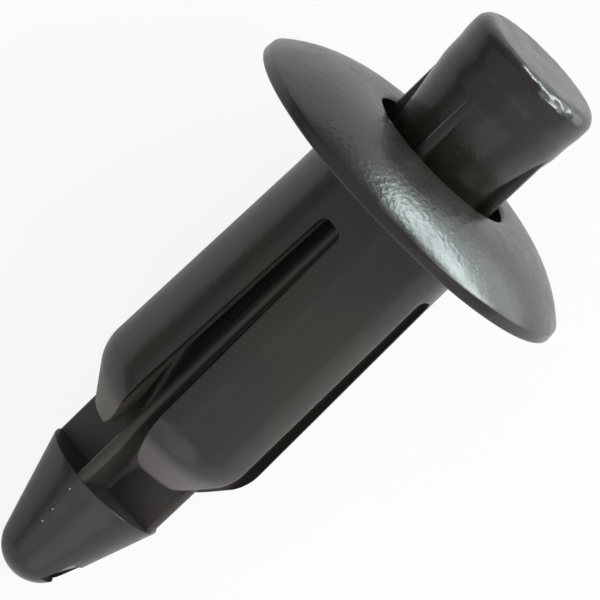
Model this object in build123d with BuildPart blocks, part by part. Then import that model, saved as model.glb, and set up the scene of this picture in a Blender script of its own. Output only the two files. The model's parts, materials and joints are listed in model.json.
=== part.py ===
from build123d import *
from math import acos, asin, atan2, cos, degrees, hypot, radians, sin, sqrt
import os

os.makedirs("parts", exist_ok=True)

# Push rivet for an 8 mm panel hole: a split grommet with a domed flange, and the
# ribbed pin that slides in it. Heights run along the rivet's axis from the
# flange's seating plane, upwards to the pin's head and downwards to its nose.

# Flange of the grommet
flange_r = 8.21
flange_height = 2.13
rim_height = 0.5
rim_draft = 0.06
rim_chamfer = 0.1
dome_r = 6.4
lip_width = 0.7
recess_height = 0.95
recess_r = 6.0

# Collar under the flange, which fills the panel's hole
collar_r = 3.95
collar_length = 2.24
collar_wall = 0.54
collar_root_chamfer = 0.25
hole_chamfer = 0.12

# Four legs, split apart by tapered slots
leg_length = 15.2
leg_flare = 0.218
leg_bevel_length = 2.06
leg_bevel_round = 1.9
leg_end_wall = 0.42
leg_bump_height = 1.0  # inwards from the bore, near the legs' ends
leg_bump_length = 1.6
leg_ramp_length = 2.4
leg_corner_round = 0.25
slot_widening = 0.32  # each side, from the slot's top to the legs' ends
slot_top_r = 0.2
slot_angle = -16.5  # turned about the axis, from straight up
seam_turn = -1.5  # of the sections' seams, from the middle of a slot

# Pin: four thin ribs round a wedge-shaped core
rib_thickness = 0.53
rib_draft = 0.16  # the ribs narrow this much from the head to the nose
neck_length = 2.03  # open between the legs and the nose, so the pin can be drawn up
neck_core_r = 0.5
neck_core_length = 0.5
wedge_lead = 5.2  # the core reaches its full width this far above the legs' ends
core_waist = 0.67  # the core's top inside the ribs' edges, where it runs out into the head
core_run_out = 2.5

# Pin head
head_rise = 5.61  # above the flange's top
head_length = 2.44
head_lip_length = 1.12
head_swell_length = 0.45
head_draft = 0.03
head_edge_r = 0.6

# Pin nose
nose_length = 5.45
nose_tip_r = 1.63
nick_angle = 78.0  # of the nick where the nose was cut from its runner
nick_from_tip = 0.85
nick_length = 1.5
nick_depth = 0.17
nick_width = 1.6

# Travel and clearances
press_travel = 8.0  # down from the raised position, past flush
hole_gap = 0.22  # head lip to the hole
head_step = 0.1  # head lip to the ribs under the head
bore_gap = 0.16  # ribs to the bore
core_gap = 0.13  # core to the legs' bumps
slot_gap = 0.305  # rib to each wall of its slot, at the slot's top
swell_gap = 0.07  # pressed head to the bottom of the hole
swell_lead = 1.6  # pressed core, above the legs' bumps, before it may widen

# Sizes that follow
hole_r = collar_r - collar_wall
head_lip_r = hole_r - hole_gap
rib_head_r = head_lip_r - head_step
rib_nose_r = rib_head_r - rib_draft
bore_r = rib_head_r + bore_gap
leg_widest_r = collar_r + leg_flare
leg_inner_r = bore_r - leg_bump_height
leg_end_r = leg_inner_r + leg_end_wall
leg_bevel_drop = leg_length - leg_bevel_length
slot_half = rib_thickness / 2 + slot_gap
slot_end_half = slot_half + slot_widening
leg_tip_width = sqrt(2) * (sqrt(leg_inner_r**2 - slot_end_half**2) - slot_end_half)
leg_corner_r = min(leg_corner_round, leg_tip_width / 4)
core_top_r = rib_head_r - core_waist
core_wedge_r = leg_inner_r - core_gap
core_wedge_drop = leg_length - wedge_lead
core_swell_drop = leg_length - leg_bump_length - press_travel - swell_lead

head_top = flange_height + head_rise
head_lip_base = head_top - head_lip_length
head_swell_base = head_lip_base - head_swell_length
rib_top = head_top - head_length
core_top = rib_top - core_run_out
hole_depth = press_travel - head_swell_base + swell_gap
hole_step_drop = hole_depth + hole_r - bore_r

nose_base = -leg_length - neck_length
nose_tip = nose_base - nose_length
tip_centre = nose_tip + nose_tip_r
cut_reach = flange_r + 1  # cuts run out past everything

# The nose's cone runs tangent into its round tip
cone_rise = nose_base - tip_centre
tangent_angle = atan2(cone_rise, rib_nose_r) - acos(nose_tip_r / hypot(rib_nose_r, cone_rise))
tangent_r = nose_tip_r * cos(tangent_angle)
tangent_height = tip_centre + nose_tip_r * sin(tangent_angle)
cone_slope = (rib_nose_r - tangent_r) / (nose_base - tangent_height)

# Half sections, with the radius along X and the height along Y
hole_edge = (hole_r, flange_height)
rim_top = (flange_r - rim_draft, rim_height)
rim_foot = (flange_r, 0)
lip_inside = (flange_r - lip_width, 0)
collar_root = (collar_r, recess_height)
leg_bevel = (leg_widest_r, -leg_bevel_drop)

with BuildSketch() as grommet_section:
    with BuildLine():
        RadiusArc(hole_edge, rim_top, dome_r)
        Polyline(rim_top, rim_foot, lip_inside)
        RadiusArc(lip_inside, collar_root, -recess_r)
        Polyline(
            collar_root,
            (collar_r, -collar_length),
            leg_bevel,
            (leg_end_r, -leg_length),
            (leg_inner_r, -leg_length),
            (leg_inner_r, leg_bump_length - leg_length),
            (bore_r, leg_bump_length + leg_ramp_length - leg_length),
            (bore_r, -hole_step_drop),
            (hole_r, -hole_depth),
            hole_edge,
        )
    make_face()
    for corner, size in (
        (hole_edge, hole_chamfer),
        (rim_top, rim_chamfer),
        (rim_foot, rim_chamfer),
        (collar_root, collar_root_chamfer),
    ):
        chamfer(grommet_section.vertices().sort_by_distance(corner)[0], size)
    fillet(grommet_section.vertices().sort_by_distance(leg_bevel)[0], leg_bevel_round)

with BuildSketch() as pin_section:
    with BuildLine():
        CenterArc((0, tip_centre), nose_tip_r, -90, 90 + degrees(tangent_angle))
        Polyline(
            (tangent_r, tangent_height),
            (rib_nose_r, nose_base),
            (neck_core_r, nose_base),
            (neck_core_r, nose_base + neck_core_length),
            (core_wedge_r, -core_wedge_drop),
            (core_wedge_r, -core_swell_drop),
            (core_top_r, core_top),
            (rib_head_r, rib_top),
            (rib_head_r + head_draft, head_swell_base),
            (head_lip_r, head_lip_base),
            (head_lip_r, head_top),
            (0, head_top),
            (0, nose_tip),
        )
    make_face()
    fillet(pin_section.vertices().sort_by_distance((head_lip_r, head_top))[0], head_edge_r)

# The rivet lies on its flange's rim and on whichever corner or round of the legs or
# nose meets the surface first, with its head end raised. The surface is at Z = 0.
rim = grommet_section.vertices().sort_by(Axis.X)[-1]
corners = grommet_section.vertices() + pin_section.vertices()
rounds = (grommet_section.edges() + pin_section.edges()).filter_by(GeomType.CIRCLE)


def lean_on(centre, radius):
    inset = rim.X - centre.X
    run = rim.Y - centre.Y
    return atan2(inset, run) - asin(radius / hypot(inset, run))


leans = [lean_on(corner, 0) for corner in corners if corner.Y < -collar_length]
leans += [lean_on(arc.arc_center, arc.radius) for arc in rounds if (arc @ 0.5).Y < -collar_length]
lean = min(leans)
seat_z = rim.X * cos(lean) - rim.Y * sin(lean)
head_end_x = (head_top - head_edge_r) * cos(lean) + (head_lip_r - head_edge_r) * sin(lean) + head_edge_r
nose_end_x = tip_centre * cos(lean) - nose_tip_r
seat_x = -(head_end_x + nose_end_x) / 2

seat = Vector(seat_x, 0, seat_z)
up = Vector(-sin(lean), 0, cos(lean))
across = Vector(0, -1, 0)
along = Vector(cos(lean), 0, sin(lean))
rivet_axis = Axis(seat, along)


def outward(angle):
    return up * cos(radians(angle)) + across * sin(radians(angle))


def sideways(angle):
    return across * cos(radians(angle)) - up * sin(radians(angle))


# The half sections are drawn inside a slot, so the slots and ribs take their seams away
seam_angle = slot_angle + seam_turn
half_plane = Plane(origin=seat, x_dir=outward(seam_angle), z_dir=-sideways(seam_angle))


# Grommet: its half section turned about the axis, then split by two crossing slots
with BuildPart() as grommet:
    with BuildSketch(half_plane):
        add(grommet_section.sketch)
    revolve(axis=rivet_axis)

    for angle in (slot_angle, slot_angle + 90):
        with BuildSketch(Plane(origin=seat, x_dir=sideways(angle), z_dir=outward(angle))) as slot:
            with BuildLine():
                Polyline(
                    (-slot_half, -collar_length),
                    (slot_half, -collar_length),
                    (slot_end_half, -leg_length),
                    (slot_end_half, -leg_length - 1),
                    (-slot_end_half, -leg_length - 1),
                    (-slot_end_half, -leg_length),
                    close=True,
                )
            make_face()
            fillet(slot.vertices().group_by(Axis.Y)[-1], slot_top_r)
        extrude(amount=cut_reach, both=True, mode=Mode.SUBTRACT)

    leg_ends = grommet.faces().filter_by(Plane(origin=seat, z_dir=along)).group_by(rivet_axis)[0]
    fillet(leg_ends.edges().filter_by(GeomType.LINE), leg_corner_r)

# Push pin: nose, core and head turned as one, with two ribs crossing through the core
with BuildPart() as push_pin:
    with BuildSketch(half_plane):
        add(pin_section.sketch)
    revolve(axis=rivet_axis)

    for angle in (slot_angle, slot_angle + 90):
        with BuildSketch(Plane(origin=seat, x_dir=outward(angle), z_dir=-sideways(angle))):
            with BuildLine():
                Polyline(
                    (-rib_nose_r, nose_base),
                    (rib_nose_r, nose_base),
                    (rib_head_r, rib_top),
                    (-rib_head_r, rib_top),
                    close=True,
                )
            make_face()
        extrude(amount=rib_thickness / 2, both=True)

    nick_low = nose_tip + nick_from_tip
    nick_top = nick_low + nick_length
    nick_low_r = tangent_r + cone_slope * (nick_low - tangent_height)
    nick_top_r = nick_low_r + cone_slope * nick_length
    with BuildSketch(Plane(origin=seat, x_dir=outward(nick_angle), z_dir=-sideways(nick_angle))):
        with BuildLine():
            Polyline(
                (nick_top_r, nick_top),
                (nick_low_r - nick_depth, nick_low),
                (cut_reach, nick_low),
                (cut_reach, nick_top),
                close=True,
            )
        make_face()
    extrude(amount=nick_width / 2, both=True, mode=Mode.SUBTRACT)

grommet.part.label = "grommet"
export_step(grommet.part, "parts/grommet.step")

push_pin.part.label = "push_pin"
export_step(push_pin.part, "parts/push_pin.step")
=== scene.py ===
import json
from math import acos, asin, atan2, cos, degrees, hypot, pi, radians, sin, sqrt

import bpy
from mathutils import Matrix, Vector


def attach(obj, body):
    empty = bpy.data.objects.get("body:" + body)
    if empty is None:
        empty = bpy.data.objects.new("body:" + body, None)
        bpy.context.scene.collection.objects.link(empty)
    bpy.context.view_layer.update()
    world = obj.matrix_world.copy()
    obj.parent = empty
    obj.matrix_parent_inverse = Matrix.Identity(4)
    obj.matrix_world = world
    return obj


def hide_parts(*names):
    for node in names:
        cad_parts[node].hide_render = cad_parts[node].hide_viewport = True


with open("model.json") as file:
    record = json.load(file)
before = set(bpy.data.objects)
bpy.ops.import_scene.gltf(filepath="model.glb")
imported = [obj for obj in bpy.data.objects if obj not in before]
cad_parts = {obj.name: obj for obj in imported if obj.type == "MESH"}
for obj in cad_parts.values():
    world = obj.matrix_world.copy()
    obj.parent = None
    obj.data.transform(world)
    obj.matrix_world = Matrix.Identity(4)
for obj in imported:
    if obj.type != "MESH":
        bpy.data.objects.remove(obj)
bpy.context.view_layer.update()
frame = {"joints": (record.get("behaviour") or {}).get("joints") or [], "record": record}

# Pieces are modelled upright in millimetres, the axis on Z and the seating plane at 0,
# then laid in place by the matrix layDown.
mm = 0.001
mounts = {m["name"]: m for m in frame["record"]["mounts"]}
slide = frame["joints"][0]
along = -Vector(slide["axis"]).normalized()          # towards the head
across = Vector((0, -1, 0))
upward = across.cross(along)                          # square to the axis, towards the sky
collarPoint = Vector(mounts["panel_collar"]["pos_m"])
seatPoint = Vector(mounts["flange_seat"]["pos_m"])
seat = collarPoint + along * (seatPoint - collarPoint).dot(along)
lean = Matrix((upward, across, along)).transposed().to_4x4()
layDown = Matrix.Translation(seat) @ lean @ Matrix.Scale(mm, 4)

slotAngle = -16.5        # of the first slot and rib, in degrees round the axis from straight up
weld = 0.001             # mm; points nearer than this are merged
closeTo = 0.002          # mm; points nearer than this are at the same place
sameTurn = 0.3           # degrees; points nearer than this are in the same column of a spin
flatWeight = 60          # how much the large faces lead the smooth shading


def deselectAll():
    if bpy.context.mode != 'OBJECT':
        bpy.ops.object.mode_set(mode='OBJECT')
    bpy.ops.object.select_all(action='DESELECT')


def makeActive(obj):
    deselectAll()
    obj.select_set(True)
    bpy.context.view_layer.objects.active = obj


def pick(obj, kind, test):
    # selects the vertices, edges or faces whose corners pass the test, and stays in edit mode
    if bpy.context.mode != 'OBJECT':
        bpy.ops.object.mode_set(mode='OBJECT')
    bpy.ops.object.mode_set(mode='EDIT')
    bpy.ops.mesh.select_mode(type=kind)
    bpy.ops.mesh.select_all(action='DESELECT')
    bpy.ops.object.mode_set(mode='OBJECT')
    mesh = obj.data
    points = [v.co.copy() for v in mesh.vertices]
    if kind == 'VERT':
        for v in mesh.vertices:
            v.select = test([points[v.index]])
    else:
        parts = mesh.edges if kind == 'EDGE' else mesh.polygons
        for part in parts:
            part.select = test([points[i] for i in part.vertices])
    bpy.ops.object.mode_set(mode='EDIT')


def near(place):
    # a test for the vertices at one distance out and one height
    return lambda pts: hypot(pts[0].x - place[0], pts[0].z - place[1]) < closeTo


def drawProfile(name, points, closed):
    # one vertex, extruded from point to point; radius on X, height on Z
    deselectAll()
    bpy.ops.mesh.primitive_plane_add(size=1)
    obj = bpy.context.object
    obj.name = name
    bpy.ops.object.mode_set(mode='EDIT')
    bpy.ops.mesh.select_mode(type='VERT')
    bpy.ops.mesh.select_all(action='SELECT')
    bpy.ops.mesh.merge(type='CENTER')
    bpy.ops.transform.translate(value=(points[0][0], 0, points[0][1]))
    for a, b in zip(points, points[1:]):
        step = (b[0] - a[0], 0, b[1] - a[1])
        bpy.ops.mesh.extrude_region_move(TRANSFORM_OT_translate={"value": step})
    if closed:
        bpy.ops.mesh.select_all(action='SELECT')
        bpy.ops.mesh.remove_doubles(threshold=weld)
    return obj


def roundCorners(obj, corners, rounds):
    # rounds named corners of a profile, each by its own size and number of segments
    for name, (size, segments) in rounds.items():
        pick(obj, 'VERT', near(corners[name]))
        bpy.ops.mesh.bevel(offset=size, segments=segments, affect='VERTICES', clamp_overlap=False)


def spinAbout(obj, columns):
    bpy.ops.object.mode_set(mode='EDIT')
    bpy.ops.mesh.select_all(action='SELECT')
    bpy.ops.mesh.spin(steps=columns, angle=2 * pi, center=(0, 0, 0), axis=(0, 0, 1))
    bpy.ops.mesh.select_all(action='SELECT')
    bpy.ops.mesh.remove_doubles(threshold=weld)
    bpy.ops.mesh.normals_make_consistent(inside=False)
    bpy.ops.object.mode_set(mode='OBJECT')


def runPoints(start, end, count):
    # the points that divide a straight run into equal parts, without its ends
    run, rise = end[0] - start[0], end[1] - start[1]
    return [(start[0] + run * i / count, start[1] + rise * i / count) for i in range(1, count)]


def arcPoints(start, end, radius, count):
    # points along an arc that bulges to the left of the way from start to end, with its ends
    mid = ((start[0] + end[0]) / 2, (start[1] + end[1]) / 2)
    run, rise = end[0] - start[0], end[1] - start[1]
    chord = hypot(run, rise)
    back = sqrt(radius ** 2 - chord ** 2 / 4)
    centre = (mid[0] + rise / chord * back, mid[1] - run / chord * back)
    a0 = atan2(start[1] - centre[1], start[0] - centre[0])
    a1 = atan2(end[1] - centre[1], end[0] - centre[0])
    turns = [a0 + (a1 - a0) * i / count for i in range(count + 1)]
    return [(centre[0] + radius * cos(t), centre[1] + radius * sin(t)) for t in turns]


def turnOf(p):
    # degrees round the axis, from the middle of the first slot
    return degrees(atan2(p.y, p.x)) - slotAngle


def offSlot(turn):
    # degrees from the middle of the nearest of the four slots, or of the ribs in them
    return (turn + 45) % 90 - 45


def turnAboutAxis(obj, angle):
    # for a piece that still stands upright
    makeActive(obj)
    obj.rotation_euler = (0, 0, radians(angle))
    bpy.ops.object.transform_apply(location=True, rotation=True, scale=True)


def applyModifier(obj, kind, **settings):
    makeActive(obj)
    bpy.ops.object.modifier_add(type=kind)
    modifier = obj.modifiers[-1]
    for key, value in settings.items():
        setattr(modifier, key, value)
    bpy.ops.object.modifier_apply(modifier=modifier.name)


def finishPiece(obj, node, body, shadeAngle):
    # smooth shading, laid in place, on its body
    makeActive(obj)
    bpy.ops.object.shade_smooth_by_angle(angle=radians(shadeAngle))
    obj.matrix_world = layDown
    bpy.ops.object.transform_apply(location=True, rotation=True, scale=True)
    applyModifier(obj, 'WEIGHTED_NORMAL', keep_sharp=True, weight=flatWeight)
    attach(obj, body)
    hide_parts(node)


grommetSizes = {
    "holeR": 3.41, "flangeHeight": 2.13, "holeDepth": 1.9, "domeR": 6.4, "domeSteps": 14,
    "rimTopR": 8.15, "rimR": 8.21, "rimHeight": 0.5, "lipInsideR": 7.51,
    "recessHeight": 0.95, "recessR": 6.0, "recessSteps": 8, "collarR": 3.95, "collarLength": 2.24,
    "legWidestR": 4.168, "legWidestDrop": 13.14, "legSteps": 6, "legLength": 15.2, "legEndR": 2.67,
    "bumpR": 2.25, "bumpTopDrop": 13.6, "rampTopDrop": 11.2, "boreR": 3.25,
    "slotHalf": 0.57, "slotEndHalf": 0.89,
    "gapColumns": 3, "legColumns": 27,                  # of the spin, across a slot and across a leg
    "legCornerWidth": 0.45, "legCornerLength": 0.95,    # rounds the legs' end corners
    "legCornerRings": (1.0, 0.7, 0.45, 0.26),           # shares of that length, over the legs' ends
    "rounds": {                                         # each corner's size and segments
        "holeEdge": (0.16, 4), "rimTop": (0.035, 2), "rimFoot": (0.13, 3), "lipInside": (0.1, 2),
        "collarRoot": (0.3, 5), "legWidest": (0.64, 10), "legEnd": (0.22, 4), "legInside": (0.1, 3),
        "bumpTop": (0.4, 3), "rampTop": (0.5, 3),
    },
    "slotCorner": 0.34, "slotCornerSegments": 4,
    "wallEdge": 0.15, "wallEdgeSegments": 3, "sharpAngle": 50,
    "shadeAngle": 35,
}


def slotHalfAt(height):
    # half the width of a slot, which widens towards the legs' ends and round their corners
    s = grommetSizes
    down = (-s["collarLength"] - height) / (s["legLength"] - s["collarLength"])
    corner = min(1.0, max(0.0, 1 - (s["legLength"] + height) / s["legCornerLength"]))
    rounded = s["legCornerWidth"] * (1 - sqrt(1 - corner ** 2))
    return s["slotHalf"] + (s["slotEndHalf"] - s["slotHalf"]) * max(0.0, down) + rounded


def lineUpWithSlots(obj):
    # slides the spun columns round, so that some run straight down the walls of the slots
    s = grommetSizes
    gapEdge = 45 * s["gapColumns"] / (s["gapColumns"] + s["legColumns"])
    for v in obj.data.vertices:
        r = hypot(v.co.x, v.co.y)
        turn = turnOf(v.co)
        off = offSlot(turn)
        middle = turn - off
        side = 1 if off >= 0 else -1
        share = abs(off)
        half = slotHalfAt(v.co.z)
        if share <= gapEdge + sameTurn:
            moved = degrees(asin(half * share / gapEdge / r))
        else:
            wall = degrees(asin(half / r))
            moved = wall + (share - gapEdge) * (45 - wall) / (45 - gapEdge)
        a = radians(middle + side * moved + slotAngle)
        v.co.x, v.co.y = r * cos(a), r * sin(a)


def acrossSlot(p):
    # distance of a point from the middle plane of the nearest slot
    return hypot(p.x, p.y) * sin(radians(abs(offSlot(turnOf(p)))))


def buildGrommet():
    s = grommetSizes
    top = -s["collarLength"]
    bottom = -s["legLength"]
    corners = {
        "holeEdge": (s["holeR"], s["flangeHeight"]),
        "rimTop": (s["rimTopR"], s["rimHeight"]),
        "rimFoot": (s["rimR"], 0),
        "lipInside": (s["lipInsideR"], 0),
        "collarRoot": (s["collarR"], s["recessHeight"]),
        "legWidest": (s["legWidestR"], -s["legWidestDrop"]),
        "legEnd": (s["legEndR"], bottom),
        "legInside": (s["bumpR"], bottom),
        "bumpTop": (s["bumpR"], -s["bumpTopDrop"]),
        "rampTop": (s["boreR"], -s["rampTopDrop"]),
    }
    widest, end = corners["legWidest"], corners["legEnd"]
    # over the flange from the hole's edge, down the outside of a leg and back up the bore
    points = arcPoints(corners["holeEdge"], corners["rimTop"], s["domeR"], s["domeSteps"])
    points += [corners["rimFoot"], corners["lipInside"]]
    recess = arcPoints(corners["collarRoot"], corners["lipInside"], s["recessR"], s["recessSteps"])
    points += recess[-2::-1]
    points += [(s["collarR"], top)]
    points += runPoints((s["collarR"], top), widest, s["legSteps"])
    points += [widest]
    # near its end a leg gets the same rings outside and inside
    levels = [bottom + s["legCornerLength"] * share for share in s["legCornerRings"]]
    slope = (widest[0] - end[0]) / (widest[1] - end[1])
    points += [(end[0] + slope * (z - bottom), z) for z in levels]
    points += [end, corners["legInside"]]
    points += [(s["bumpR"], z) for z in reversed(levels)]
    points += [corners["bumpTop"], corners["rampTop"], (s["boreR"], top)]
    points += [(s["boreR"], -s["holeDepth"] - s["holeR"] + s["boreR"]), (s["holeR"], -s["holeDepth"])]
    points += [corners["holeEdge"]]
    obj = drawProfile("grommet_body", points, closed=True)
    roundCorners(obj, corners, s["rounds"])
    spinAbout(obj, 4 * (s["gapColumns"] + s["legColumns"]))
    lineUpWithSlots(obj)

    def inSlot(pts):
        middle = sum(pts, Vector()) / len(pts)
        return middle.z < top - closeTo and acrossSlot(middle) < slotHalfAt(middle.z) - closeTo

    pick(obj, 'FACE', inSlot)
    bpy.ops.mesh.delete(type='FACE')

    # the slots' upper ends are bridged one by one, then the long walls are filled
    for i in range(4):
        a = radians(slotAngle + 90 * i)
        aim = Vector((cos(a), sin(a), 0))

        def topEdge(pts):
            return all(abs(p.z - top) < closeTo and p.dot(aim) > 0 and
                       abs(p.cross(aim).z) < s["slotHalf"] + closeTo for p in pts)

        pick(obj, 'EDGE', topEdge)
        bpy.ops.mesh.bridge_edge_loops()
    bpy.ops.mesh.select_all(action='SELECT')
    bpy.ops.mesh.fill_holes(sides=0)
    for z in levels:
        bpy.ops.mesh.select_all(action='SELECT')
        bpy.ops.mesh.bisect(plane_co=(0, 0, z), plane_no=(0, 0, 1), threshold=weld)
    bpy.ops.mesh.select_all(action='SELECT')
    bpy.ops.mesh.normals_make_consistent(inside=False)

    # round the slots' upper corners, then every edge of their walls
    def upperCorner(pts):
        return all(abs(p.z - top) < closeTo and abs(acrossSlot(p) - s["slotHalf"]) < closeTo for p in pts)

    pick(obj, 'EDGE', upperCorner)
    bpy.ops.mesh.bevel(offset=s["slotCorner"], segments=s["slotCornerSegments"], affect='EDGES',
                       clamp_overlap=False)
    bpy.ops.mesh.select_all(action='DESELECT')
    bpy.ops.mesh.edges_select_sharp(sharpness=radians(s["sharpAngle"]))
    bpy.ops.mesh.bevel(offset=s["wallEdge"], segments=s["wallEdgeSegments"], affect='EDGES',
                       clamp_overlap=True)
    bpy.ops.object.mode_set(mode='OBJECT')
    return obj


grommet = buildGrommet()
print("grommet", len(grommet.data.polygons), "faces")


pinSizes = {
    "noseTip": -22.68, "tipR": 1.63, "tipSteps": 16, "noseBase": -17.23, "noseR": 2.93,
    "neckR": 0.5, "neckTop": -16.73, "wedgeR": 2.12, "wedgeDrop": 10.0, "swellDrop": 4.0,
    "coreTop": 2.3, "coreTopR": 2.55, "coreStep": 0.02, "coreStepDrop": 0.12,
    "ribTop": 5.3, "ribHeadR": 3.09, "swellBase": 6.17, "swellR": 3.12,
    "lipBase": 6.62, "lipR": 3.19, "headTop": 7.74,
    "faceRings": (0.25, 0.45),              # flat rings in the end face, inside its rounded edge
    "rounds": {                             # each corner's size and segments
        "noseBase": (0.07, 3), "headTop": (0.6, 10), "coreTop": (1.1, 8), "ribTop": (0.3, 4),
        "wedgeLow": (0.5, 4), "lipBase": (0.2, 4), "swellBase": (0.2, 4),
    },
    "columns": 128,
    "ribHalf": 0.265, "ribEdge": 0.23, "ribEdgeSegments": 4,
    "ribFootIn": 0.06, "ribFootDown": 0.15,         # the ribs begin inside the nose
    "ribShy": 0.004, "ribFootUp": 0.02,             # just short of the faces they would share
    "ribHeadIn": 0.05, "ribHeadUp": 0.4,            # and end inside the head
    "ridgeHalf": 0.07, "ridgeHeight": 0.014,        # where the mould's parts met, down the nose
    "ridgeTipGap": 0.6, "ridgeBaseGap": 0.02,       # left plain at the nose's tip and base
    "raisedTipGap": 0.9, "raisedBaseGap": 0.1,
    "burrs": (-17.9, -19.1, -19.8), "burrHeight": 0.09, "burrHalf": 0.07,
    "chipDepth": 0.12, "chipLevel": 0.75, "chipSize": 0.35, "chipDetail": 3,    # round the end face
    "chipReach": 0.36, "chipInset": 0.1,
    "chipSide": 25, "chipSpread": 32, "chipElsewhere": 0.25,    # most on the side that looks up
    "nickAngle": 77.0, "nickLow": -21.83, "nickLength": 1.4, "nickWidth": 1.5,
    "nickDepth": 0.36, "nickTopDepth": 0.14, "nickReach": 1.0,
    "shadeAngle": 30,
}


def noseTangent():
    # where the nose's cone runs into its round tip: the angle there, the radius and the height
    p = pinSizes
    tipCentre = p["noseTip"] + p["tipR"]
    rise = p["noseBase"] - tipCentre
    turn = atan2(rise, p["noseR"]) - acos(p["tipR"] / hypot(p["noseR"], rise))
    return turn, p["tipR"] * cos(turn), tipCentre + p["tipR"] * sin(turn)


def noseRadius(height):
    # radius of the cone of the nose
    p = pinSizes
    lowR, low = noseTangent()[1:]
    return lowR + (p["noseR"] - lowR) * (height - low) / (p["noseBase"] - low)


def buildRib(angle):
    # a thin plate through the axis, drawn up level by level
    p = pinSizes
    levels = [
        (p["noseR"] - p["ribFootIn"], p["noseBase"] - p["ribFootDown"]),
        (p["noseR"] - p["ribShy"], p["noseBase"] + p["ribFootUp"]),
        (p["ribHeadR"] - p["ribShy"], p["ribTop"]),
        (p["ribHeadR"] - p["ribHeadIn"], p["ribTop"] + p["ribHeadUp"]),
    ]
    deselectAll()
    bpy.ops.mesh.primitive_plane_add(size=2)
    rib = bpy.context.object
    bpy.ops.object.mode_set(mode='EDIT')
    bpy.ops.mesh.select_all(action='SELECT')
    bpy.ops.transform.resize(value=(levels[0][0], p["ribHalf"], 1))
    bpy.ops.transform.translate(value=(0, 0, levels[0][1]))
    for a, b in zip(levels, levels[1:]):
        bpy.ops.mesh.extrude_region_move(TRANSFORM_OT_translate={"value": (0, 0, b[1] - a[1])})
        bpy.ops.transform.resize(value=(b[0] / a[0], 1, 1))
    bpy.ops.mesh.select_all(action='SELECT')
    bpy.ops.mesh.normals_make_consistent(inside=False)

    def longEdge(pts):
        return abs(pts[0].z - pts[1].z) > closeTo

    pick(rib, 'EDGE', longEdge)
    bpy.ops.mesh.bevel(offset=p["ribEdge"], segments=p["ribEdgeSegments"], affect='EDGES')
    bpy.ops.object.mode_set(mode='OBJECT')
    turnAboutAxis(rib, angle)
    return rib


def buildNick():
    # a wedge that cuts where the nose was broken from its runner
    p = pinSizes
    nickTop = p["nickLow"] + p["nickLength"]
    lowR = noseRadius(p["nickLow"]) - p["nickDepth"]
    topR = noseRadius(nickTop) - p["nickTopDepth"]
    place = (lowR + p["nickReach"] / 2, 0, p["nickLow"] + p["nickLength"] / 2)
    deselectAll()
    bpy.ops.mesh.primitive_cube_add(size=1, location=place,
                                    scale=(p["nickReach"], p["nickWidth"], p["nickLength"]))
    wedge = bpy.context.object
    bpy.ops.object.transform_apply(location=True, rotation=True, scale=True)
    pick(wedge, 'VERT', near((lowR, nickTop)))
    bpy.ops.transform.translate(value=(topR - lowR, 0, 0))
    bpy.ops.object.mode_set(mode='OBJECT')
    turnAboutAxis(wedge, p["nickAngle"])
    return wedge


def addRidges(obj):
    # ridges down the nose in the planes of the ribs, with three small burrs on the upper one
    p = pinSizes

    def ridgeEdge(pts):
        low, high = p["noseTip"] + p["ridgeTipGap"], p["noseBase"] - p["ridgeBaseGap"]
        return all(low < q.z < high and abs(offSlot(turnOf(q))) < sameTurn for q in pts)

    def ridgeTop(pts):
        low, high = p["noseTip"] + p["raisedTipGap"], p["noseBase"] - p["raisedBaseGap"]
        return low < pts[0].z < high and abs(offSlot(turnOf(pts[0]))) < sameTurn

    def burrTop(pts):
        off = min(abs(pts[0].z - z) for z in p["burrs"])
        return ridgeTop(pts) and abs(turnOf(pts[0])) < sameTurn and off < p["burrHalf"] / 2

    # two segments, so that the middle of a ridge can be raised
    pick(obj, 'EDGE', ridgeEdge)
    bpy.ops.mesh.bevel(offset=p["ridgeHalf"], segments=2, affect='EDGES', clamp_overlap=True)
    pick(obj, 'VERT', ridgeTop)
    bpy.ops.transform.shrink_fatten(value=p["ridgeHeight"])
    pick(obj, 'VERT', burrTop)
    bpy.ops.transform.shrink_fatten(value=p["burrHeight"])
    bpy.ops.object.mode_set(mode='OBJECT')


def chipEndFace(obj):
    # the edge round the end face is a little chipped, most on the side that looks up
    p = pinSizes
    edgeR = p["lipR"] - p["rounds"]["headTop"][0]
    makeActive(obj)
    chips = obj.vertex_groups.new(name="chips")
    for v in obj.data.vertices:
        radius = hypot(v.co.x, v.co.y)
        off = abs(degrees(atan2(v.co.y, v.co.x)) - p["chipSide"])
        if v.co.z > p["headTop"] - p["chipReach"] and radius > edgeR - p["chipInset"]:
            chips.add([v.index], 1.0 if off < p["chipSpread"] else p["chipElsewhere"], 'REPLACE')
    clouds = bpy.data.textures.new("chips", 'CLOUDS')
    clouds.noise_scale = p["chipSize"]
    clouds.noise_depth = p["chipDetail"]
    applyModifier(obj, 'DISPLACE', texture=clouds, texture_coords='LOCAL', vertex_group="chips",
                  mid_level=p["chipLevel"], strength=p["chipDepth"])


def joinOrCut(obj, tool, operation):
    applyModifier(obj, 'BOOLEAN', operation=operation, object=tool, solver='EXACT')
    bpy.data.objects.remove(tool)


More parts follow.
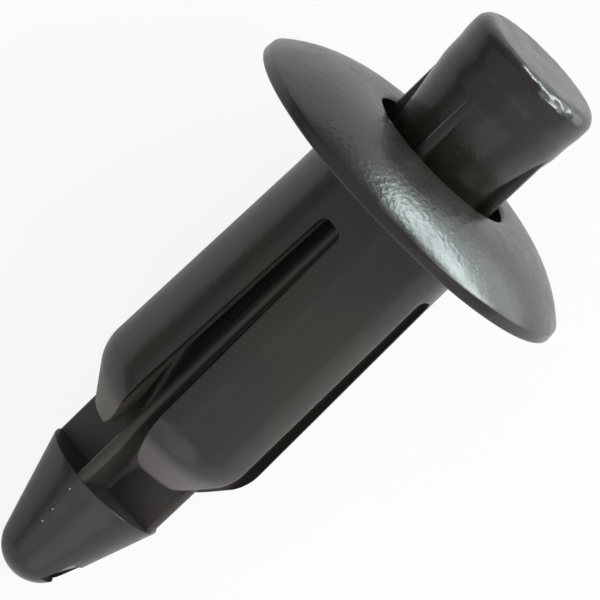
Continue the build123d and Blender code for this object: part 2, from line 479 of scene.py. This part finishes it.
def buildPin():
    p = pinSizes
    corners = {
        "noseBase": (p["noseR"], p["noseBase"]),
        "wedgeLow": (p["wedgeR"], -p["wedgeDrop"]),
        "coreTop": (p["coreTopR"], p["coreTop"]),
        "ribTop": (p["ribHeadR"], p["ribTop"]),
        "swellBase": (p["swellR"], p["swellBase"]),
        "lipBase": (p["lipR"], p["lipBase"]),
        "headTop": (p["lipR"], p["headTop"]),
    }
    tipCentre = p["noseTip"] + p["tipR"]
    tipTurn = noseTangent()[0] + pi / 2
    points = []
    for i in range(p["tipSteps"] + 1):
        a = tipTurn * i / p["tipSteps"] - pi / 2
        points.append((p["tipR"] * cos(a), tipCentre + p["tipR"] * sin(a)))
    for z in reversed(p["burrs"]):
        for level in (z - p["burrHalf"], z, z + p["burrHalf"]):
            points.append((noseRadius(level), level))
    points += [corners["noseBase"], (p["neckR"], p["noseBase"]), (p["neckR"], p["neckTop"])]
    points += [corners["wedgeLow"], (p["wedgeR"], -p["swellDrop"]), corners["coreTop"]]
    points += [(p["ribHeadR"] - p["coreStep"], p["ribTop"] - p["coreStepDrop"]), corners["ribTop"]]
    points += [corners["swellBase"], corners["lipBase"], corners["headTop"]]
    edgeR = p["lipR"] - p["rounds"]["headTop"][0]
    points += [(edgeR - inset, p["headTop"]) for inset in p["faceRings"]]
    points += [(0, p["headTop"])]
    obj = drawProfile("push_pin_body", points, closed=False)
    roundCorners(obj, corners, p["rounds"])
    spinAbout(obj, p["columns"])
    turnAboutAxis(obj, slotAngle)
    addRidges(obj)
    chipEndFace(obj)
    joinOrCut(obj, buildRib(slotAngle), 'UNION')
    joinOrCut(obj, buildRib(slotAngle + 90), 'UNION')
    joinOrCut(obj, buildNick(), 'DIFFERENCE')
    return obj


pushPin = buildPin()
print("push pin", len(pushPin.data.polygons), "faces")


# both mouldings are of the same black plastic; lengths and heights are in mm
plastic = {
    "ior": 1.5,
    "toneScale": 150, "toneDetail": 2,      # the tone drifts over a few millimetres
    "tones": (                              # places on its ramp, and shares of the colour there
        (0.3, (1.08, 1.12, 0.74)),          # olive
        (0.5, (1.13, 0.94, 0.95)),          # purplish
        (0.7, (0.95, 1.0, 1.12)),           # bluish
    ),
    # the slots and the neck, where the colour is painted lighter as painted light in their shade, and
    # made rougher
    "insideR": (3.4, 3.8), "insideLow": (-17.26, -17.2), "insideHigh": (-3, -1), "insideDull": 0.16,
    "grainedFrom": (0.5, 1.0), "grainScale": 4200, "grainDetail": 1,
    "wornScale": 900, "wornDetail": 4, "wornFrom": (0.3, 0.7), "wornBy": (-0.04, 0.06),
    "skin": ((600, 1, 0.01), (2200, 2, 0.008), (6500, 2, 0.004)),   # scale, detail and height
    # size and colour of the pale spots painted on the burrs as glints
    "paintedGlintR": 0.07, "paintedGlintColour": (0.45, 0.45, 0.45, 1),
}
# each look's inside lift paints the colour lighter inside the slots and on the neck, as painted light in
# their shade
grommetLook = {
    "name": "grommet_plastic", "colour": (0.018, 0.018, 0.0176), "paintedInsideLight": 5.5,
    "roughness": 0.23, "dulled": 0.05, "grain": 0.018,
}
pinLook = {
    "name": "pin_plastic", "colour": (0.0165, 0.0165, 0.016), "paintedInsideLight": 2.2,
    "roughness": 0.23, "dulled": 0.0, "grain": 0.006,
}


def mouldedPlastic(look, paintedGlintSpots=()):
    mat = bpy.data.materials.new(look["name"])
    mat.use_nodes = True
    nodes, links = mat.node_tree.nodes, mat.node_tree.links
    shader = nodes["Principled BSDF"]
    shader.inputs["IOR"].default_value = plastic["ior"]
    position = nodes.new('ShaderNodeTexCoord').outputs["Object"]

    def feed(socket, value):
        # a link from another node, or a plain value
        if isinstance(value, bpy.types.NodeSocket):
            links.new(value, socket)
        else:
            socket.default_value = value

    def noise(scale, detail):
        n = nodes.new('ShaderNodeTexNoise')
        n.inputs["Scale"].default_value = scale
        n.inputs["Detail"].default_value = detail
        links.new(position, n.inputs["Vector"])
        return n.outputs["Fac"]

    def mapRange(value, low, high, toLow, toHigh):
        n = nodes.new('ShaderNodeMapRange')
        for key, number in (("From Min", low), ("From Max", high), ("To Min", toLow), ("To Max", toHigh)):
            n.inputs[key].default_value = number
        links.new(value, n.inputs["Value"])
        return n.outputs["Result"]

    def vectorMath(operation, vector, other=None):
        n = nodes.new('ShaderNodeVectorMath')
        n.operation = operation
        links.new(vector, n.inputs[0])
        if other is not None:
            n.inputs[1].default_value = other
        return n.outputs["Value" if operation in ('DOT_PRODUCT', 'LENGTH', 'DISTANCE') else "Vector"]

    def calculate(operation, a, b):
        n = nodes.new('ShaderNodeMath')
        n.operation = operation
        feed(n.inputs[0], a)
        feed(n.inputs[1], b)
        return n.outputs["Value"]

    def toneRamp(value, lift):
        n = nodes.new('ShaderNodeValToRGB')
        stops = n.color_ramp.elements
        while len(stops) < len(plastic["tones"]):
            stops.new(0.5)
        for stop, (place, tone) in zip(stops, plastic["tones"]):
            stop.position = place
            stop.color = (*(c * t * lift for c, t in zip(look["colour"], tone)), 1)
        links.new(value, n.inputs["Fac"])
        return n.outputs["Color"]

    def mixColours(share, first, second):
        n = nodes.new('ShaderNodeMix')
        n.data_type = 'RGBA'
        links.new(share, n.inputs["Factor"])
        feed(n.inputs[6], first)            # 6 and 7 are the node's two colours
        feed(n.inputs[7], second)
        return n.outputs[2]

    def bump(height, distance, under=None):
        n = nodes.new('ShaderNodeBump')
        n.inputs["Strength"].default_value = 1
        n.inputs["Distance"].default_value = distance * mm
        links.new(height, n.inputs["Height"])
        if under:
            links.new(under, n.inputs["Normal"])
        return n.outputs["Normal"]

    # height over the seating plane and distance from the axis
    place = vectorMath('SUBTRACT', position, seat)
    height = vectorMath('DOT_PRODUCT', place, along)
    radius = vectorMath('LENGTH', vectorMath('CROSS_PRODUCT', place, along))

    def within(value, limits, start, end):
        return mapRange(value, limits[0] * mm, limits[1] * mm, start, end)

    # unpolished inside the slots and on the neck, and painted lighter there as painted light in their
    # shade; grained on the flange and the head
    slotHeights = calculate('MULTIPLY', within(height, plastic["insideLow"], 0, 1),
                            within(height, plastic["insideHigh"], 1, 0))
    inside = calculate('MULTIPLY', within(radius, plastic["insideR"], 1, 0), slotHeights)
    grained = within(height, plastic["grainedFrom"], 0, 1)

    # the drifting tone, painted lighter inside as painted light in the shade of the slots and the neck,
    # and pale spots painted on the burrs as glints
    drift = noise(plastic["toneScale"], plastic["toneDetail"])
    # painted light: a lighter copy of the colour inside the slots and on the neck, where they lie in
    # shade
    colour = mixColours(inside, toneRamp(drift, 1.0), toneRamp(drift, look["paintedInsideLight"]))
    for spot in paintedGlintSpots:
        # a painted glint: a pale spot on each burr
        paintedGlint = calculate('LESS_THAN', vectorMath('DISTANCE', position, spot), plastic["paintedGlintR"] * mm)
        colour = mixColours(paintedGlint, colour, plastic["paintedGlintColour"])
    links.new(colour, shader.inputs["Base Color"])

    wornBy = [look["roughness"] + change for change in plastic["wornBy"]]
    worn = mapRange(noise(plastic["wornScale"], plastic["wornDetail"]), *plastic["wornFrom"], *wornBy)
    worn = calculate('ADD', worn, mapRange(inside, 0, 1, 0, plastic["insideDull"]))
    worn = calculate('ADD', worn, mapRange(grained, 0, 1, 0, look["dulled"]))
    links.new(worn, shader.inputs["Roughness"])

    skin = None
    for scale, detail, depth in plastic["skin"]:
        skin = bump(noise(scale, detail), depth, skin)
    grain = calculate('MULTIPLY', noise(plastic["grainScale"], plastic["grainDetail"]), grained)
    links.new(bump(grain, look["grain"], skin), shader.inputs["Normal"])
    return mat


slotTurn = radians(slotAngle)
# the burrs' tops, where pale spots are painted as glints
paintedGlintSpots = []
for z in pinSizes["burrs"]:
    reach = noseRadius(z) + pinSizes["ridgeHeight"] + pinSizes["burrHeight"]
    paintedGlintSpots.append(layDown @ Vector((reach * cos(slotTurn), reach * sin(slotTurn), z)))
grommet.data.materials.append(mouldedPlastic(grommetLook))
pushPin.data.materials.append(mouldedPlastic(pinLook, paintedGlintSpots))
finishPiece(grommet, "grommet", "grommet", grommetSizes["shadeAngle"])
finishPiece(pushPin, "push_pin", "push_pin", pinSizes["shadeAngle"])
print("plastic")


paper = {
    "size": 2, "colour": (0.9, 0.9, 0.9, 1), "roughness": 0.9,
    "cameraShare": 0.88, "glossShare": 0.1,     # of plain white in what the camera and the gloss see
}


def buildFloor():
    deselectAll()
    bpy.ops.mesh.primitive_plane_add(size=paper["size"])
    floor = bpy.context.object
    floor.name = "floor"
    mat = bpy.data.materials.new("floor_paper")
    mat.use_nodes = True
    nodes, links = mat.node_tree.nodes, mat.node_tree.links
    shader = nodes["Principled BSDF"]
    shader.inputs["Base Color"].default_value = paper["colour"]
    shader.inputs["Roughness"].default_value = paper["roughness"]
    # nearly white to the camera, with a faint shadow
    rays = nodes.new('ShaderNodeLightPath')
    gloss = nodes.new('ShaderNodeMath')
    gloss.operation = 'MULTIPLY'
    gloss.inputs[1].default_value = paper["glossShare"]
    links.new(rays.outputs["Is Glossy Ray"], gloss.inputs[0])
    share = nodes.new('ShaderNodeMath')
    share.operation = 'MULTIPLY_ADD'
    share.inputs[1].default_value = paper["cameraShare"]
    links.new(rays.outputs["Is Camera Ray"], share.inputs[0])
    links.new(gloss.outputs["Value"], share.inputs[2])
    white = nodes.new('ShaderNodeEmission')
    mix = nodes.new('ShaderNodeMixShader')
    links.new(share.outputs["Value"], mix.inputs["Fac"])
    links.new(shader.outputs["BSDF"], mix.inputs[1])
    links.new(white.outputs["Emission"], mix.inputs[2])
    links.new(mix.outputs["Shader"], nodes["Material Output"].inputs["Surface"])
    floor.data.materials.append(mat)


def aroundRivet(turn, lift):
    # a direction turned about the rivet from straight over it, to the right as seen looking
    # towards its head, and lifted towards the head
    turn, lift = radians(turn), radians(lift)
    return (upward * cos(turn) + across * sin(turn)) * cos(lift) + along * sin(lift)


roomGlow = {"colour": (1, 0.97, 0.95, 1), "strength": 0.23}
plainWhite = (1, 1, 1)
softLights = {          # distances and sizes in metres, power in watts
    "window": {"from": Vector((0.96, -0.37, 0.15)), "distance": 0.35, "size": (0.3, 0.12),
               "power": 1.95, "colour": (0.86, 1, 0.99)},
    "ceiling": {"from": aroundRivet(50, -28), "distance": 0.5, "size": (0.7, 0.7),
                "power": 0.72, "colour": plainWhite},
    "lamp": {"from": aroundRivet(60, 35), "distance": 0.6, "size": (0.32, 0.32),
             "power": 1.95, "colour": plainWhite},
    "farWall": {"from": aroundRivet(10, -60), "distance": 0.5, "size": (0.8, 0.6),
                "power": 1.0, "colour": plainWhite},
    "nearWall": {"from": aroundRivet(-22, -5), "distance": 0.5, "size": (0.8, 0.8),
                 "power": 0.73, "colour": (1, 0.96, 0.95)},
}
paperGlow = {           # brightens the paper beyond the head, which the flange's end mirrors
    "place": (0.042, -0.028, 0.12), "spread": 22, "softness": 0.6,
    "power": 1.5, "colour": (0.9, 0.98, 1),
}


def addLight(name, kind, place, power, colour):
    light = bpy.data.lights.new(name, kind)
    light.energy = power
    light.color = colour
    obj = bpy.data.objects.new(name, light)
    bpy.context.scene.collection.objects.link(obj)
    obj.location = place
    return obj


def buildLight():
    world = bpy.data.worlds.new("room")
    bpy.context.scene.world = world
    world.use_nodes = True
    back = world.node_tree.nodes["Background"]
    back.inputs["Color"].default_value = roomGlow["colour"]
    back.inputs["Strength"].default_value = roomGlow["strength"]
    for name, soft in softLights.items():
        direction = soft["from"].normalized()
        obj = addLight(name, 'AREA', direction * soft["distance"], soft["power"], soft["colour"])
        obj.data.shape = 'RECTANGLE'
        obj.data.size, obj.data.size_y = soft["size"]
        obj.rotation_euler = direction.to_track_quat('Z', 'Y').to_euler()
    spot = addLight("paperGlow", 'SPOT', paperGlow["place"], paperGlow["power"], paperGlow["colour"])
    spot.data.spot_size = radians(paperGlow["spread"])
    spot.data.spot_blend = paperGlow["softness"]


cameraPlace = {
    "pixel": 0.0405 * mm,         # the size of a pixel at the rivet
    "pictureWidth": 600,          # pixels
    "tilt": 12.37,                # degrees, of the view towards the head
    "turn": 43.71,                # degrees, of the rivet in the picture
    "distance": 8000,             # pixels
    "seatPixels": 152.4,          # along the rivet, from the picture's middle to the seating plane
    "sidePixels": 3.17,           # across the rivet, from its axis to the picture's middle
    "sensor": 36, "clipStart": 0.01,
}


def buildCamera():
    c = cameraPlace
    tilt, turn = radians(c["tilt"]), radians(c["turn"])
    towards = along * sin(tilt) + upward * cos(tilt)
    pictureAlong = along * cos(tilt) - upward * sin(tilt)
    right = pictureAlong * cos(turn) + across * sin(turn)
    up = pictureAlong * sin(turn) - across * cos(turn)
    target = seat - along * c["seatPixels"] * c["pixel"] + across * c["sidePixels"] * c["pixel"]
    data = bpy.data.cameras.new("camera")
    cam = bpy.data.objects.new("camera", data)
    bpy.context.scene.collection.objects.link(cam)
    data.sensor_width = c["sensor"]
    data.lens = c["sensor"] * c["distance"] / c["pictureWidth"]
    data.clip_start = c["clipStart"]
    facing = Matrix((right, up, towards)).transposed().to_4x4()
    cam.matrix_world = Matrix.Translation(target + towards * c["distance"] * c["pixel"]) @ facing
    bpy.context.scene.camera = cam


buildFloor()
buildLight()
buildCamera()
bpy.context.scene.view_settings.view_transform = 'Standard'
print("floor, light and camera")
